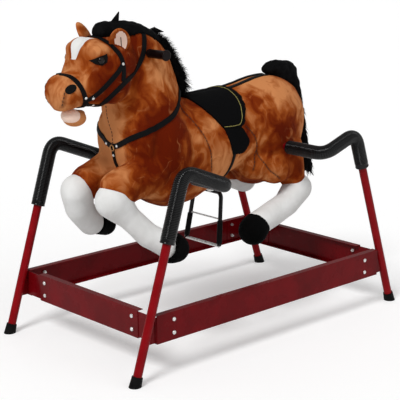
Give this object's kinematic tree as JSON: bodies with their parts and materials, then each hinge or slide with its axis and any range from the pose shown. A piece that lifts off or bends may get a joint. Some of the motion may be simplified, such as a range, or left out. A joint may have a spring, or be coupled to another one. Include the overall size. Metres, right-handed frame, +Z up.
{
  "type": "spring rocking horse",
  "caption": "Child's plush rocking horse hung on coil springs in a red steel stand, with saddle, bridle, hand grips and stirrups; it bounces and rocks.",
  "frame": {"origin": "on the ground at the centre of the stand's four feet", "axes": "+Z up, the horse faces -Y, its left side is +X"},
  "size_m": [0.644, 1.1249, 0.9557],
  "materials": {
    "red_paint": "gloss",
    "black_rubber": "matte",
    "zinc": "satin",
    "spring_steel": "satin",
    "black_sleeve": "gloss",
    "black_enamel": "gloss",
    "handle_plastic": "satin",
    "brown_plush": "matte",
    "pink_plush": "matte",
    "eye_plastic": "gloss",
    "black_hair": "matte",
    "white_plush": "matte",
    "black_plush": "matte",
    "black_vinyl": "satin"
  },
  "bodies": {
    "frame": {"post_front_left": "red_paint", "post_front_right": "red_paint", "post_rear_left": "red_paint", "post_rear_right": "red_paint", "foot_caps": "black_rubber", "corner_brackets": "red_paint", "left_channel": "red_paint", "right_channel": "red_paint", "front_channel": "red_paint", "rear_channel": "red_paint", "frame_bolts": "zinc", "frame_nuts": "zinc"},
    "spring_set": {"spring_front_left": "spring_steel", "spring_front_right": "spring_steel", "spring_rear_left": "spring_steel", "spring_rear_right": "spring_steel", "sleeve_front_left": "black_sleeve", "sleeve_front_right": "black_sleeve", "sleeve_rear_left": "black_sleeve", "sleeve_rear_right": "black_sleeve"},
    "horse": {"belly_plate": "zinc", "belly_plate_bolts": "zinc", "breast_collar": "black_vinyl", "crupper_strap": "black_vinyl", "ears": "brown_plush", "eyes": "eye_plastic", "fore_hooves": "black_plush", "foreleg_socks": "white_plush", "foreleg_uppers": "brown_plush", "front_crossbar": "red_paint", "girth": "black_vinyl", "handle_bar": "black_enamel", "handle_grips": "handle_plastic", "head": "brown_plush", "headstall": "black_vinyl", "hind_hooves": "black_plush", "hind_leg_uppers": "brown_plush", "hind_socks": "white_plush", "mane": "black_hair", "neck": "brown_plush", "neck_tube": "red_paint", "noseband": "black_vinyl", "rear_crossbar": "red_paint", "saddle": "black_vinyl", "saddle_fenders": "black_vinyl", "seat_rails": "red_paint", "stirrup_grips": "black_rubber", "stirrup_hanger": "black_enamel", "stirrup_tie_rod": "zinc", "stirrup_tread": "zinc", "tack_rivets": "zinc", "tail": "black_hair", "throat_latch": "black_vinyl", "torso": "brown_plush"},
    "jaw": {"jaw": "brown_plush", "tongue": "pink_plush"}
  },
  "joints": [
    {"name": "bounce", "type": "slide", "parent": "frame", "child": "spring_set", "axis": [0, 0, 1], "range_m": [-0.06, 0.03], "stiffness_N_per_m": 6000, "springref_m": 0.0178, "deforming": ["spring_front_left", "spring_front_right", "spring_rear_left", "spring_rear_right", "sleeve_front_left", "sleeve_front_right", "sleeve_rear_left", "sleeve_rear_right"]},
    {"name": "rock", "type": "hinge", "parent": "spring_set", "child": "horse", "pos_m": [0, 0.016, 0.518], "axis": [1, 0, 0], "range_deg": [-8, 8], "stiffness_Nm_per_rad": 400, "springref_deg": -1.03, "deforming": ["spring_front_left", "spring_front_right", "spring_rear_left", "spring_rear_right", "sleeve_front_left", "sleeve_front_right", "sleeve_rear_left", "sleeve_rear_right"]},
    {"name": "mouth", "type": "hinge", "parent": "horse", "child": "jaw", "pos_m": [0, -0.436, 0.716], "axis": [1, 0, 0], "range_deg": [-5, 5], "stiffness_Nm_per_rad": 2}
  ]
}
